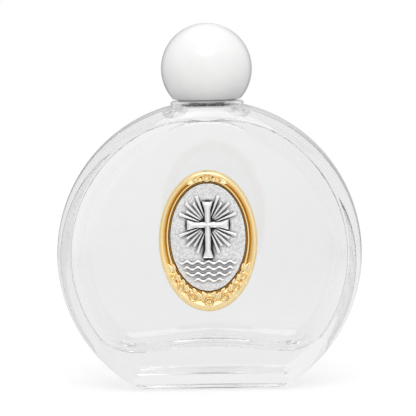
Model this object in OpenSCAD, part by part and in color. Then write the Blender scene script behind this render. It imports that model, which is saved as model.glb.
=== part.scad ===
// Holy water bottle: a round flat glass flask with a threaded neck, a white ball cap on a
// threaded insert, a pouring plug, and an oval medal in a gilt frame stuck to the front.
// Millimetres, +Z up. The origin is the middle of the base, under the flask's own axis,
// and the medal faces -Y.

/* [Flask body] */
// Diameter of the round body
flask_d = 84; // [76:1:96]
// Depth of the body from front to back
flask_depth = 31; // [28:0.5:36]
// Radius of the gently domed front and back
face_r = 380; // [300:10:600]
// Radius of the rim's slight crown across the depth
rim_r = 90; // [60:5:140]
// Rounding between a face and the rim
edge_r = 3.6; // [2.4:0.2:4.6]
// Height of the body's centre above the base
base_drop = 37; // [34:0.5:39]
// Depth of the foot from front to back, inside the bevels that lead out to the faces
foot_depth = 21.2; // [20:0.2:24]
// Rounding of the front and back edges of the foot
base_edge_r = 1.6; // [1:0.1:2]
// Diameter of the hollow under the base
recess_d = 15; // [10:0.5:15.5]
// Depth of the hollow under the base
recess_h = 1.2; // [0.6:0.1:2]

/* [Flask cavity] */
// Glass thickness at the rim
rim_wall = 4.1; // [3:0.1:5]
// Glass thickness at the front and back
face_wall = 3.2; // [2.5:0.1:4]
// Glass thickness at the base, beside the push-up
base_wall = 10.4; // [8:0.2:12]
// Radius of the cavity's slightly crowned rim across the depth
cavity_rim_r = 70; // [50:5:110]
// Rounding between the cavity's faces and its rim
cavity_edge_r = 4; // [3:0.5:5]
// Rounding of the front and back edges of the cavity floor
floor_edge_r = 4; // [2:0.5:6]
// Rise of the push-up in the middle of the cavity floor
push_up_h = 1.8; // [0.8:0.1:2.4]
// Diameter of the push-up at the cavity floor
push_up_d = 40; // [30:1:44]

/* [Neck] */
// Diameter of the neck under the thread
neck_d = 12.4; // [11:0.2:13.4]
// Height of the neck above its ring
neck_h = 9.55; // [8.05:0.1:11.05]
// Bevel round the lip
lip_bevel = 0.5; // [0.2:0.1:0.8]
// Diameter of the bore
bore_d = 8.4; // [7:0.2:9]
// Diameter of the rounded ring round the neck that the cap stands over
ring_d = 20.2; // [19:0.2:21]
// Rounding of the ring's section
ring_round = 0.7; // [0.5:0.05:0.9]
// Height of the ring's level top against the top of the body
ring_rise = -0.05; // [-0.15:0.05:0.4]
// Depth of the level seat round the ring, under the top of the body
seat_drop = 1.3; // [1:0.1:1.6]
// How far the bore domes out towards the cavity
throat_flare = 4.4; // [3:0.2:5]
// Height of the dome, from the cavity to the straight bore
throat_h = 4.2; // [3.4:0.1:4.4]

/* [Thread] */
// Rise of the thread for one turn
pitch = 3; // [2.6:0.1:3.4]
// Turns of the thread on the neck
neck_turns = 1.5; // [1:0.25:1.75]
// Height of a thread's ridge
thread_h = 0.8; // [0.6:0.05:0.9]
// Width of a ridge at its foot
ridge_foot = 1.4; // [1.2:0.05:1.5]
// Width of a ridge at its crest
ridge_crest = 0.5; // [0.3:0.05:0.6]
// Clearance between the two threads, across the axis
thread_gap = 0.25; // [0.15:0.05:0.4]
// Clearance between the two ridges' flanks, along the axis
thread_play = 0.15; // [0.1:0.05:0.3]
// Height of the neck thread's start above the ring
thread_start = 1.75; // [1.55:0.05:2.15]

/* [Pouring plug] */
// Diameter of the pouring hole
hole_d = 2.4; // [1.5:0.1:3]
// Diameter of the flange on the lip
flange_d = 10.6; // [9.8:0.1:11.2]
// Thickness of the flange
flange_t = 0.8; // [0.5:0.1:1.2]
// Length of the skirt in the bore
skirt_h = 6; // [4:0.5:7]
// Wall of the skirt
skirt_wall = 0.9; // [0.6:0.1:1.2]

/* [Cap] */
// Diameter of the ball
ball_d = 25; // [24:0.5:30]
// Gap between the ball and the neck's ring
cap_gap = 0.45; // [0.4:0.05:0.6]
// How far the insert stands out under the ball
insert_drop = 0.35; // [0:0.05:0.35]
// Width of the ball's flat underside, round the insert
ball_rim = 1.05; // [0.8:0.05:1.5]
// Wall of the threaded insert
insert_wall = 0.95; // [0.8:0.05:1.2]
// Thickness of the insert's closed top
insert_top = 1.2; // [0.8:0.1:1.6]
// Width of the ledge in the ball that the insert's top seats on
ledge_w = 1; // [0.6:0.1:1.6]
// Height of the hollow in the ball above the insert
core_h = 5; // [3:0.5:6]
// Radius of the snap bead round the insert
bead_r = 0.3; // [0.2:0.05:0.4]
// Thickness of the sealing liner
liner_t = 1.2; // [0.8:0.1:1.6]
// Clearance round the liner
liner_gap = 0.2; // [0.1:0.05:0.4]
// Clearance of a push fit, on the radius
push_gap = 0.03; // [0.02:0.01:0.06]

/* [Medal frame] */
// Width of the frame's outer oval
frame_w = 26.6; // [24:0.2:30]
// Height of the frame's outer oval
frame_h = 38.2; // [36:0.2:42]
// Width of the frame's opening
opening_w = 20.7; // [18:0.1:21.2]
// Height of the frame's opening
opening_h = 29.7; // [27:0.1:30.2]
// How far the opening sits above the middle of the frame
opening_rise = 1.05; // [0.5:0.05:1.5]
// Height of the medal's middle above the middle of the body
medal_rise = 4.9; // [0:0.1:8]
// Height of the frame's crest above its back
crest_h = 2.6; // [2.2:0.1:3.2]
// Height of the lip round the opening above the back
inner_lip_h = 1.75; // [1.5:0.05:2]
// Height of the groove between the lip and the plate above the back
groove_h = 1.1; // [0.9:0.05:1.3]
// Thickness of the frame's floor under the plate
floor_t = 0.6; // [0.4:0.1:0.8]
// Radius of a garland bloom
bloom_r = 1.45; // [1.2:0.05:1.8]
// Blooms along the foot of the frame
foot_blooms = 7; // [5:2:9]
// Blooms at the head of the frame
head_blooms = 3; // [1:2:3]

/* [Medal plate] */
// Thickness of the plate's field
plate_t = 0.75; // [0.5:0.05:0.9]
// Clearance round the plate
plate_gap = 0.12; // [0.05:0.01:0.2]
// Thickness of the glue under the plate
glue_t = 0.1; // [0.05:0.05:0.2]
// Inset of the glue from the plate's edge
glue_inset = 0.8; // [0.4:0.1:2]
// Height of the cross above the field
cross_relief = 0.5; // [0.3:0.05:0.7]
// Height of the rays and waves above the field
low_relief = 0.28; // [0.2:0.02:0.4]
// Height of the cross
cross_h = 15.2; // [12:0.2:16]
// Height of the cross's head above the crossing
cross_top = 6.2; // [5:0.2:7]
// Width of the cross's arms from tip to tip
cross_w = 11.2; // [8:0.2:12]
// Width of an arm at the crossing
arm_w = 1.5; // [1:0.1:1.5]
// Width of an arm at its flared tip
arm_tip_w = 2.7; // [1.8:0.1:3]
// Height of the crossing above the middle of the plate
crossing_rise = 3.4; // [3:0.1:4]
// Length of the longest rays, from the crossing
ray_len = 8.4; // [6:0.2:8.6]
// Rows of water waves under the cross
wave_rows = 4; // [1:1:4]

/* [Mounting tape] */
// Thickness of the tape at the top of the dome
tape_t = 0.5; // [0.4:0.1:1]
// Inset of the tape from the frame's edge
tape_inset = 2.4; // [1.5:0.1:4]

/* [Hidden] */
$fn = 96;
face_fn = 960;

// Room between the rounding of the cavity's floor and its face, so that the two cross
foot_margin = 0.35;

// Overlap that lets a cut or a joined shape pass its neighbour
over = 0.2;

// Degrees between the points of the heel's, the ring's and the throat's arcs
arc_step = 15;

// Heights up the axis
body_top = base_drop + flask_d / 2;
cavity_top = body_top - rim_wall;
ring_top = body_top + ring_rise;
lip_z = ring_top + neck_h;
flange_top = lip_z + flange_t;
liner_top = flange_top + liner_t;
insert_z = liner_top + insert_top;
cap_z = ring_top + cap_gap;
insert_foot_z = cap_z - insert_drop;

// How far under the cavity's top the throat's dome starts
throat_sink = 0.9;

// Radii of the screw fit, from the neck outwards
neck_r = neck_d / 2;
neck_crest_r = neck_r + thread_h;
insert_bore_r = neck_crest_r + thread_gap;
insert_crest_r = insert_bore_r - thread_h;
insert_r = insert_bore_r + insert_wall;
ball_bore_r = insert_r + push_gap;

// The ball is cut off where its flat underside is ball_rim wide
ball_cut_r = ball_bore_r + ball_rim;
ball_z = cap_z + sqrt(pow(ball_d / 2, 2) - pow(ball_cut_r, 2));
bead_z = ball_z;

// Steps round one turn of a thread, the part of a turn in which a ridge fades out, and how
// deep a ridge's foot stands in its wall
thread_steps = 32;
thread_fade = 0.12;
thread_root = 0.25;

// The cap's ridge starts this part of a turn after the neck's ridge, and hangs under it by
// the reach of the two flanks and their play
cap_lead = 0.25;
cap_turns = neck_turns - cap_lead;
flank_slope = (ridge_foot - ridge_crest) / 2 / (thread_h + thread_root);
flank_reach = ridge_crest + (thread_h - thread_gap) * flank_slope;
neck_thread_z = ring_top + thread_start;
cap_thread_z = neck_thread_z + pitch * cap_lead - flank_reach - thread_play;

// The medal's own plane: local x to the right, local y up, local z towards the viewer
medal_y = -(flask_depth / 2 + tape_t);
medal_z = base_drop + medal_rise;
plate_z = floor_t + glue_t;
plate_a = opening_w / 2 - plate_gap;
plate_b = opening_h / 2 - plate_gap;
oval_steps = 72;

// The dome under the tape: how far round it reaches, and its steps. The tape is first drawn
// as deep as the face's glass.
dome_reach = asin((medal_rise + frame_h / 2) / face_r) + 0.5;
dome_steps = 16;
tape_reach = tape_t + face_wall;

// Section of the frame's moulding: share of the way from the outer oval to the opening,
// then height above the back
outer_wall_h = 0.9;
cove_h = inner_lip_h - 0.25;
moulding = [
    [0, 0], [0, outer_wall_h], [0.07, 0.75 * crest_h], [0.2, 0.95 * crest_h], [0.32, crest_h],
    [0.45, 0.92 * crest_h], [0.58, 0.5 * (crest_h + cove_h)], [0.7, cove_h],
    [0.75, inner_lip_h], [0.85, inner_lip_h], [0.92, groove_h], [1, groove_h], [1, floor_t]
];

// Garland: angles round the frame between its first and last bloom, the blooms' share of the
// way to the opening, and their height clear of the frame's back
foot_span = 104;
head_span = 34;
bloom_share = 0.5;
bloom_lift = 0.1;

// Rays: how many on each side of a quarter's middle one, their spacing in degrees, first radius,
// width at the outer end and the short rays' share of ray_len
ray_pairs = 2;
ray_step = 12;
ray_start = 2.2;
ray_w = 0.75;
short_ray = 0.83;

// Waves: spacing, thickness, length and swing of one wave, the bare edge beside them, and the
// first row's place under the cross as a share of the spacing
wave_pitch_y = 1.6;
wave_w = 0.6;
wave_len = 2.9;
wave_swing = 0.32;
wave_margin = 1.6;
wave_start = 0.75;

// Where two circles cross, taking the crossing with the larger x
function circles_meet(c1, r1, c2, r2) =
    let (d = norm(c2 - c1), u = (c2 - c1) / d)
    let (along = (d * d + r1 * r1 - r2 * r2) / (2 * d))
    let (side = sqrt(r1 * r1 - along * along), n = [-u[1], u[0]])
    let (p = c1 + along * u + side * n, q = c1 + along * u - side * n)
    p[0] > q[0] ? p : q;

function oval_point(a, b, angle) = [a * cos(angle), b * sin(angle)];
function oval(a, b) = [for (i = [0 : oval_steps - 1]) oval_point(a, b, 360 * i / oval_steps)];

// A point of the frame at an angle round it, at a share of the way to the opening
function frame_point(angle, share) =
    let (outer = oval_point(frame_w / 2, frame_h / 2, angle))
    let (inner = oval_point(opening_w / 2, opening_h / 2, angle) + [0, opening_rise])
    outer + share * (inner - outer);

// Half of a flat round body's section: domed faces, a crowned rim and rounded edges
module disc_section(r, half, crown_r, round_r) {
    dome_c = [0, half - face_r];
    crown_c = [r - crown_r, 0];
    c = circles_meet(dome_c, face_r - round_r, crown_c, crown_r - round_r);
    on_dome = dome_c + (c - dome_c) * face_r / (face_r - round_r);
    on_crown = crown_c + (c - crown_c) * crown_r / (crown_r - round_r);
    intersection() {
        translate(dome_c) circle(face_r, $fn = face_fn);
        translate(-dome_c) circle(face_r, $fn = face_fn);
        translate([0, -half]) square([on_dome[0], 2 * half]);
    }
    intersection() {
        translate(crown_c) circle(crown_r);
        translate([0, -on_crown[1]]) square([r, 2 * on_crown[1]]);
    }
    for (s = [-1, 1]) translate([c[0], s * c[1]]) circle(round_r);
}

// A flat round body standing on edge, its axis along Y
module disc(r, half, crown_r, round_r) {
    translate([0, 0, base_drop]) rotate([90, 0, 0])
        rotate_extrude() disc_section(r, half, crown_r, round_r);
}

// What is cut from the body to give it a flat foot with rounded front and back edges, and a
// bevel from the foot out to each face
module heel_cut() {
    r = base_edge_r;
    half = foot_depth / 2;
    out = flask_depth;
    edge = [for (a = [0 : -arc_step : -90]) [half - r + r * cos(a), r + r * sin(a)]];
    profile = concat([[half + out, r + out]], edge);
    back = [for (i = [len(profile) - 1 : -1 : 0]) [-profile[i][0], profile[i][1]]];
    low = [[-half - out, -flask_d], [half + out, -flask_d]];
    rotate([90, 0, 90]) translate([0, 0, -flask_d]) linear_extrude(2 * flask_d)
        polygon(concat(profile, back, low));
}

// What is cut from a round hollow of half depth half to give it a flat floor at foot_z, with
// its front and back edges rounded
module foot_cut(half, foot_z, round_r) {
    drop = base_drop - foot_z - round_r;
    side = half - face_r + sqrt(face_r * face_r - drop * drop) + foot_margin;
    rotate([90, 0, 90]) translate([0, 0, -flask_d]) linear_extrude(2 * flask_d) {
        translate([-flask_depth, foot_z - flask_d]) square([2 * flask_depth, flask_d]);
        for (s = [-1, 1]) difference() {
            translate([s * (side + flask_depth / 2 - round_r), foot_z + round_r / 2 - over])
                square([flask_depth, round_r + 2 * over], center = true);
            translate([s * (side - round_r), foot_z + round_r]) circle(round_r);
        }
    }
}

// A ball's cap-shaped slice of width d and height h, with its flat side at z = 0
module dome(d, h) {
    r = (d * d / 4 + h * h) / (2 * h);
    intersection() {
        translate([0, 0, h - r]) sphere(r);
        translate([-d, -d, -over]) cube([2 * d, 2 * d, h + 2 * over]);
    }
}

module body_outside() {
    difference() {
        disc(flask_d / 2, flask_depth / 2, rim_r, edge_r);
        heel_cut();
        translate([-flask_d / 2, -flask_depth, body_top - seat_drop])
            cube([flask_d, 2 * flask_depth, flask_d]);
    }
}

module cavity() {
    half = flask_depth / 2 - face_wall;
    difference() {
        disc(flask_d / 2 - rim_wall, half, cavity_rim_r, cavity_edge_r);
        foot_cut(half, base_wall, floor_edge_r);
        translate([0, 0, base_wall]) dome(push_up_d, push_up_h);
    }
}

// A helical ridge of given turns. It stands on the radius foot_r and reaches crest_r, so
// a crest inside the foot makes an internal thread. Both ends fade into the wall.
module ridge(foot_r, crest_r, turns) {
    n = ceil(turns * thread_steps);
    out = crest_r > foot_r ? 1 : -1;
    deep = foot_r - out * thread_root;
    rings = [for (i = [0 : n])
        let (turn = turns * i / n)
        let (fade = min(1, min(turn, turns - turn) / thread_fade))
        let (tip = foot_r + (crest_r - foot_r) * fade - out * (1 - fade) * thread_root / 2)
        let (z = pitch * turn, a = 360 * turn, foot = ridge_foot / 2, crest = ridge_crest / 2)
        [for (p = [[deep, -foot], [tip, -crest], [tip, crest], [deep, foot]])
            [p[0] * cos(a), p[0] * sin(a), z + p[1]]]];
    m = len(rings[0]);
    sides = [for (i = [0 : n - 1]) for (j = [0 : m - 1]) for (half = [0, 1])
        let (k = (j + 1) % m)
        let (p = i * m + j, q = i * m + k, r = p + m, s = q + m)
        half == 0 ? [p, r, q] : [q, r, s]];
    ends = [for (j = [1 : m - 2]) for (end = [0, 1])
        end == 0 ? [0, j, j + 1] : [n * m, n * m + j + 1, n * m + j]];
    turned = [for (f = concat(sides, ends)) out < 0 ? f : [f[0], f[2], f[1]]];
    polyhedron([for (ring = rings) for (p = ring) p], turned);
}

// The neck with its ring, from a root sunk in the glass up to the lip
module neck_outside() {
    root_z = body_top - 2 * seat_drop;
    bend = [ring_d / 2 - ring_round, ring_top - ring_round];
    ring = [for (a = [-90 : arc_step : 90]) bend + ring_round * [cos(a), sin(a)]];
    rotate_extrude() polygon(concat([[0, root_z], [bend[0], root_z]], ring, [
        [neck_r, ring_top], [neck_r, lip_z - lip_bevel], [neck_r - lip_bevel, lip_z], [0, lip_z]
    ]));
    translate([0, 0, neck_thread_z]) ridge(neck_r, neck_crest_r, neck_turns);
}

// The way in: the bore, doming out towards the cavity
module bore() {
    bore_r = bore_d / 2;
    throat_z = cavity_top - throat_sink;
    throat = [for (a = [0 : arc_step : 90])
        [bore_r + throat_flare * cos(a), throat_z + throat_h * sin(a)]];
    rotate_extrude() polygon(concat([[0, throat_z - throat_sink]],
        [[bore_r + throat_flare, throat_z - throat_sink]], throat,
        [[bore_r, lip_z + over], [0, lip_z + over]]));
}

module flask() {
    color([0.88, 0.93, 0.93, 0.45]) difference() {
        union() {
            body_outside();
            neck_outside();
        }
        cavity();
        bore();
        dome(recess_d, recess_h);
    }
}

module pour_plug() {
    skirt_r = bore_d / 2 - push_gap;
    color([0.93, 0.94, 0.92]) rotate_extrude() polygon([
        [hole_d / 2, lip_z], [hole_d / 2, flange_top], [flange_d / 2, flange_top], [flange_d / 2, lip_z],
        [skirt_r, lip_z], [skirt_r, lip_z - skirt_h], [skirt_r - skirt_wall, lip_z - skirt_h],
        [skirt_r - skirt_wall, lip_z]
    ]);
}

module cap_liner() {
    color([0.9, 0.9, 0.88]) translate([0, 0, flange_top])
        cylinder(h = liner_t, r = insert_bore_r - liner_gap);
}

module cap_insert() {
    color([0.45, 0.45, 0.45]) {
        difference() {
            union() {
                translate([0, 0, insert_foot_z]) cylinder(h = insert_z - insert_foot_z, r = insert_r);
                rotate_extrude() translate([insert_r, bead_z]) circle(bead_r);
            }
            translate([0, 0, insert_foot_z - over])
                cylinder(h = liner_top - insert_foot_z + over, r = insert_bore_r);
        }
        translate([0, 0, cap_thread_z]) rotate(360 * cap_lead)
            ridge(insert_bore_r, insert_crest_r, cap_turns);
    }
}

module cap_ball() {
    core_r = ball_bore_r - ledge_w;
    color([0.97, 0.97, 0.97]) difference() {
        translate([0, 0, ball_z]) sphere(ball_d / 2);
        translate([-ball_d, -ball_d, cap_z - ball_d]) cube([2 * ball_d, 2 * ball_d, ball_d]);
        translate([0, 0, cap_z - over]) cylinder(h = insert_z - cap_z + over, r = ball_bore_r);
        rotate_extrude() translate([ball_bore_r, bead_z]) circle(bead_r);
        translate([0, 0, insert_z - over]) dome(2 * core_r, core_h + over);
    }
}

// Puts a shape drawn in the medal's plane on the front of the flask
module on_front() {
    translate([0, medal_y, medal_z]) rotate([90, 0, 0]) children();
}

// The front of the flask's dome as a stack of narrow cones that touch it from outside
module front_dome() {
    step = dome_reach / dome_steps;
    r = face_r / cos(step / 2);
    arc = [for (i = [0 : dome_steps]) r * [sin(i * step), cos(i * step)]];
    edge = arc[dome_steps];
    low = edge[1] - tape_reach;
    translate([0, face_r - flask_depth / 2, base_drop]) rotate([90, 0, 0])
        rotate_extrude() polygon(concat([[0, low]], arc, [[edge[0], low]]));
}

module frame_tape() {
    color([0.92, 0.92, 0.9]) difference() {
        on_front() translate([0, 0, -tape_reach]) linear_extrude(tape_reach)
            polygon(oval(frame_w / 2 - tape_inset, frame_h / 2 - tape_inset));
        front_dome();
    }
}

// The frame's moulding swept round the oval, closed at the back and across its floor
module frame_sweep() {
    m = len(moulding);
    points = [for (i = [0 : oval_steps - 1]) for (p = moulding)
        let (at = frame_point(360 * i / oval_steps, p[0])) [at[0], at[1], p[1]]];
    back = oval_steps * m;
    front = back + 1;
    sides = [for (i = [0 : oval_steps - 1]) for (j = [0 : m - 2]) for (half = [0, 1])
        let (k = (i + 1) % oval_steps)
        let (p = i * m + j, q = p + 1, r = k * m + j, s = r + 1)
        half == 0 ? [p, q, r] : [q, s, r]];
    caps = [for (i = [0 : oval_steps - 1]) for (end = [0, 1])
        let (k = (i + 1) % oval_steps)
        end == 0 ? [back, i * m, k * m] : [front, k * m + m - 1, i * m + m - 1]];
    polyhedron(concat(points, [[0, 0, 0], [0, opening_rise, floor_t]]), concat(sides, caps));
}

// Blooms in a row round the frame, about the angle middle
module blooms(count, middle, span) {
    for (i = [0 : count - 1]) {
        angle = middle + (count > 1 ? span * (i / (count - 1) - 0.5) : 0);
        at = frame_point(angle, bloom_share);
        translate([at[0], at[1], bloom_r + bloom_lift]) sphere(bloom_r);
    }
}

module medal_frame() {
    color([0.86, 0.67, 0.31]) on_front() {
        frame_sweep();
        difference() {
            union() {
                blooms(foot_blooms, 270, foot_span);
                blooms(head_blooms, 90, head_span);
            }
            translate([0, opening_rise, floor_t]) linear_extrude(2 * crest_h)
                polygon(oval(opening_w / 2 - plate_gap / 2, opening_h / 2 - plate_gap / 2));
        }
    }
}

module plate_glue() {
    color([0.9, 0.87, 0.75]) on_front() translate([0, opening_rise, floor_t])
        linear_extrude(glue_t) polygon(oval(plate_a - glue_inset, plate_b - glue_inset));
}

// One arm of the cross from the crossing, pointing up, with a flared tip
module arm(length) {
    polygon([
        [-arm_w / 2, 0], [-arm_w / 2, length - arm_tip_w], [-arm_tip_w / 2, length],
        [arm_tip_w / 2, length], [arm_w / 2, length - arm_tip_w], [arm_w / 2, 0]
    ]);
}

module cross() {
    arm(cross_top);
    for (s = [-1, 1]) rotate(90 * s) arm(cross_w / 2);
    rotate(180) arm(cross_h - cross_top);
}

// Rays between the cross's arms, long and short by turns
module rays() {
    for (quarter = [0 : 3]) for (i = [-ray_pairs : ray_pairs]) {
        length = i % 2 == 0 ? ray_len : ray_len * short_ray;
        rotate(90 * quarter + 45 + ray_step * i)
            polygon([[ray_start, 0], [length, ray_w / 2], [length, -ray_w / 2]]);
    }
}

// One row of water, cut to the plate's oval at height y
module wave(y) {
    half = plate_a * sqrt(1 - pow(y / plate_b, 2)) - wave_margin;
    steps = ceil(2 * half / wave_len) * 8;
    xs = [for (i = [0 : steps]) half * (2 * i / steps - 1)];
    crest = [for (x = xs) [x, y + wave_swing * cos(360 * x / wave_len) + wave_w / 2]];
    trough = [for (x = xs) [-x, y + wave_swing * cos(360 * x / wave_len) - wave_w / 2]];
    polygon(concat(crest, trough));
}

module medal_plate() {
    field_z = plate_z + plate_t;
    cross_foot = crossing_rise - cross_h + cross_top;
    color([0.76, 0.76, 0.77]) on_front() translate([0, opening_rise, 0]) {
        translate([0, 0, plate_z]) linear_extrude(plate_t) polygon(oval(plate_a, plate_b));
        translate([0, crossing_rise, field_z - over]) {
            linear_extrude(cross_relief + over) cross();
            linear_extrude(low_relief + over) rays();
        }
        translate([0, 0, field_z - over]) linear_extrude(low_relief + over)
            for (i = [0 : wave_rows - 1]) wave(cross_foot - (i + wave_start) * wave_pitch_y);
    }
}

flask();
pour_plug();
cap_liner();
cap_insert();
cap_ball();
frame_tape();
medal_frame();
plate_glue();
medal_plate();
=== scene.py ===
import math
import bpy
import numpy as np
from mathutils import Matrix, Vector


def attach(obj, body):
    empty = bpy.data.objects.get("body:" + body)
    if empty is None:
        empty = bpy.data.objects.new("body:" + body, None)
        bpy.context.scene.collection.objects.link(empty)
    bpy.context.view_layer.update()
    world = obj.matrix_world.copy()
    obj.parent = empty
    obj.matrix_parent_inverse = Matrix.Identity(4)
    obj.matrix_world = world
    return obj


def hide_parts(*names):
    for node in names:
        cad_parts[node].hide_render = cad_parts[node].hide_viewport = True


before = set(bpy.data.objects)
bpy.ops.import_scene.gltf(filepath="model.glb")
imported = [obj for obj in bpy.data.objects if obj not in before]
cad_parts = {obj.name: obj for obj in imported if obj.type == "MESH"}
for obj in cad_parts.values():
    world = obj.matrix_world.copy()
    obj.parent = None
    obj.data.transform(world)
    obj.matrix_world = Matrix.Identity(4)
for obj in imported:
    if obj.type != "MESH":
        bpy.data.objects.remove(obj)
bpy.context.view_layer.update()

# Sizes are in millimetres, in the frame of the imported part
MM = 0.001
TAU = 2 * math.pi

# Flask: the round body and the cavity in it
CENTRE_Z = 37
FACE_R = 380
BODY = dict(radius=42, half=15.5, crown=90, edge=3.6)
HOLLOW = dict(radius=37.9, half=12.3, crown=70, edge=4)

# Flask: the bevelled foot with a dish under it, and the cavity's floor
HEEL_Y = 10.6
HEEL_ROUND = 1.6
BEVEL_EASE = 2
BEVEL_SLOPE = 1.41
FOOT_EDGE_Y = (8, 12)
FOOT_EDGE = (0.9, 0.15)
DISH = (11.5, 6.2)
DISH_H = 1.2
FLOOR_Z = 10.4
FLOOR_ROUND = 4
PUSH_UP = 1.8
PUSH_UP_X = 24

# Flask: the seat under the neck, its ring, the neck and the throat
SEAT_R = 41.85
SEAT_EDGE = 9.5
SEAT_FALL = 0.06
RING = (9.4, 78.25)
RING_ROUND = 0.7
RING_TOP = 78.95
RING_ROOT_R = 10.05
NECK_R = 6.2
BORE_R = 4.2
THROAT = (12.6, 10.2)
THROAT_TOP = 78.7
THROAT_EDGE_X = (6, 16)
THROAT_EDGE = 1.2
LIP_Z = 88.5

# Threads of the neck and the cap
PITCH = 3
THREAD_H = 0.8
RIDGE_HALF = 0.6
RIDGE_FLANK = 0.36
RIDGE_FADE = 0.12
NECK_THREAD = dict(start=80.7, lead=0, turns=1.5)
CAP_THREAD = dict(start=80.564, lead=0.25, turns=1.25)

# Cap, and the plug in the neck
BALL_R = 12.5
BALL_Z = 87.772
BALL_BORE_R = 8.23
BALL_CORE_R = 7.23
BALL_CORE_H = 5
CAP_Z = 79.4
SNAP_BEAD = 0.3
INSERT_R = 8.2
INSERT_BORE_R = 7.25
INSERT_FOOT = 79.05
INSERT_TOP = 91.7
LINER_R = 7.05
LINER_TOP = 90.5
FLANGE_R = 5.3
FLANGE_TOP = 89.3
PLUG_R = 4.17
PLUG_BORE_R = 3.27
PLUG_FOOT = 82.5
POUR_HOLE_R = 1.2

# Medal: the frame and its opening
MEDAL_Y = -16
MEDAL_Z = 41.9
FRAME_A = 13.3
FRAME_B = 19.1
OPENING_A = 10.35
OPENING_B = 14.85
OPENING_RISE = 1.05
TRAY_FLOOR = 0.6

# Medal: the frame's moulding, as shares of the way in to the opening and heights
CREST = 0.27
CREST_FOOT = 0.8
CREST_RISE = 1.8
LIP_START = 0.7
LIP_HALF = 0.1
LIP_FOOT = 1.42
LIP_RISE = 0.4

# Medal: the plate, and the cross, rays and water on it
PLATE_A = 10.23
PLATE_B = 14.73
PLATE_BACK = 0.7
FIELD_H = 1.45
CROSSING_Y = 3.4
ARM_UP = 6.2
ARM_DOWN = 9.0
ARM_SIDE = 5.6
ARM_HALF = 0.75
ARM_FLARE = 0.6
FLARE_LEN = 2.6
CROSS_H = 0.38
CROSS_EDGE = 0.26
CROSS_RIDGE = 0.22
LINE_DEPTH = 0.16
LINE_HALF = 0.14
LINE_INSET = 0.3
RAY_STEP = 12
RAY_LONG = 8.4
RAY_SHORT = 7.0
RAY_START = 2.2
RAY_WIDENS = (1.4, 7.8)
RAY_HALF = 0.4
RAY_EDGE = 0.16
RAY_H = 0.24
WATER_TOP = -6
WAVE_ROWS = 4
WAVE_Y = -6.8
WAVE_PITCH = 1.6
WAVE_SWING = 0.32
WAVE_LEN = 2.9
WAVE_HALF = 0.4
WAVE_EDGE = 0.3
WAVE_H = 0.26
MARGIN = 0.1
RIM_START = 0.975
RIM_DROP = 0.12


# Modelling helpers

def start_clean():
    """Leaves edit mode and selects nothing."""
    if bpy.context.object and bpy.context.object.mode != "OBJECT":
        bpy.ops.object.mode_set(mode="OBJECT")
    bpy.ops.object.select_all(action="DESELECT")


def named(name):
    """Gives the active piece and its mesh a name."""
    piece = bpy.context.object
    piece.name = name
    piece.data.name = name
    return piece


def weld(piece):
    """Merges doubled points, drops faces without area and turns the rest outwards."""
    bpy.ops.object.mode_set(mode="EDIT")
    bpy.ops.mesh.select_all(action="SELECT")
    bpy.ops.mesh.remove_doubles(threshold=1e-6)
    bpy.ops.mesh.dissolve_degenerate(threshold=1e-7)
    bpy.ops.mesh.select_all(action="SELECT")
    bpy.ops.mesh.normals_make_consistent(inside=False)
    bpy.ops.object.mode_set(mode="OBJECT")
    return piece


def soften_edges(piece, width, segments):
    """Bevels the edges that turn by more than 35 degrees."""
    bevel = piece.modifiers.new("Soft edges", "BEVEL")
    bevel.width = width * MM
    bevel.segments = segments
    bevel.limit_method = "ANGLE"
    bevel.angle_limit = math.radians(35)
    bpy.context.view_layer.objects.active = piece
    bpy.ops.object.modifier_apply(modifier=bevel.name)


def shade(piece, angle):
    """Shades a piece smooth, apart from edges that turn by more than an angle in degrees."""
    start_clean()
    piece.select_set(True)
    bpy.context.view_layer.objects.active = piece
    bpy.ops.object.shade_smooth_by_angle(angle=math.radians(angle))


def points_of(piece):
    """The mesh's points in metres, one to a row."""
    flat = np.empty(3 * len(piece.data.vertices))
    piece.data.vertices.foreach_get("co", flat)
    return flat.reshape(-1, 3)


def move_points(piece, points):
    """Puts the mesh's points at places in millimetres."""
    piece.data.vertices.foreach_set("co", (points * MM).reshape(-1))


def grid(name, columns, rows, size):
    """A flat grid with so many faces each way, to be shaped."""
    start_clean()
    bpy.ops.mesh.primitive_grid_add(x_subdivisions=columns, y_subdivisions=rows, size=size)
    return named(name)


def rolled(name, rings):
    """A grid rolled into closed rings, given as rows of points, with its seam and poles welded."""
    rows, columns = rings.shape[:2]
    piece = grid(name, columns, rows - 1, 0.01)
    move_points(piece, np.concatenate([rings, rings[:, :1]], axis=1))
    return weld(piece)


def turned(name, section, steps=96):
    """A closed section of (radius, height) points, spun round the axis."""
    start_clean()
    bpy.ops.mesh.primitive_circle_add(vertices=len(section), radius=0.001)
    piece = named(name)
    for vertex, (r, z) in zip(piece.data.vertices, section):
        vertex.co = (r * MM, 0, z * MM)
    bpy.ops.object.mode_set(mode="EDIT")
    bpy.ops.mesh.select_all(action="SELECT")
    bpy.ops.mesh.spin(steps=steps, angle=TAU, center=(0, 0, 0), axis=(0, 0, 1), use_auto_merge=True)
    bpy.ops.object.mode_set(mode="OBJECT")
    return weld(piece)


def copied(piece, matrix):
    """A copy with its own mesh, moved by a matrix in millimetres."""
    copy = piece.copy()
    copy.data = piece.data.copy()
    copy.data.transform(Matrix.Scale(MM, 4) @ matrix @ Matrix.Scale(1 / MM, 4))
    bpy.context.collection.objects.link(copy)
    return copy


def joined(name, pieces):
    start_clean()
    for piece in pieces:
        piece.select_set(True)
    bpy.context.view_layer.objects.active = pieces[0]
    bpy.ops.object.join()
    return named(name)


def point_attribute(piece, name, values):
    attribute = piece.data.attributes.new(name, "FLOAT", "POINT")
    attribute.data.foreach_set("value", np.asarray(values, np.float32))


def ease(x):
    """A smooth step from 0 to 1."""
    x = np.clip(x, 0, 1)
    return x * x * (3 - 2 * x)


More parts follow.
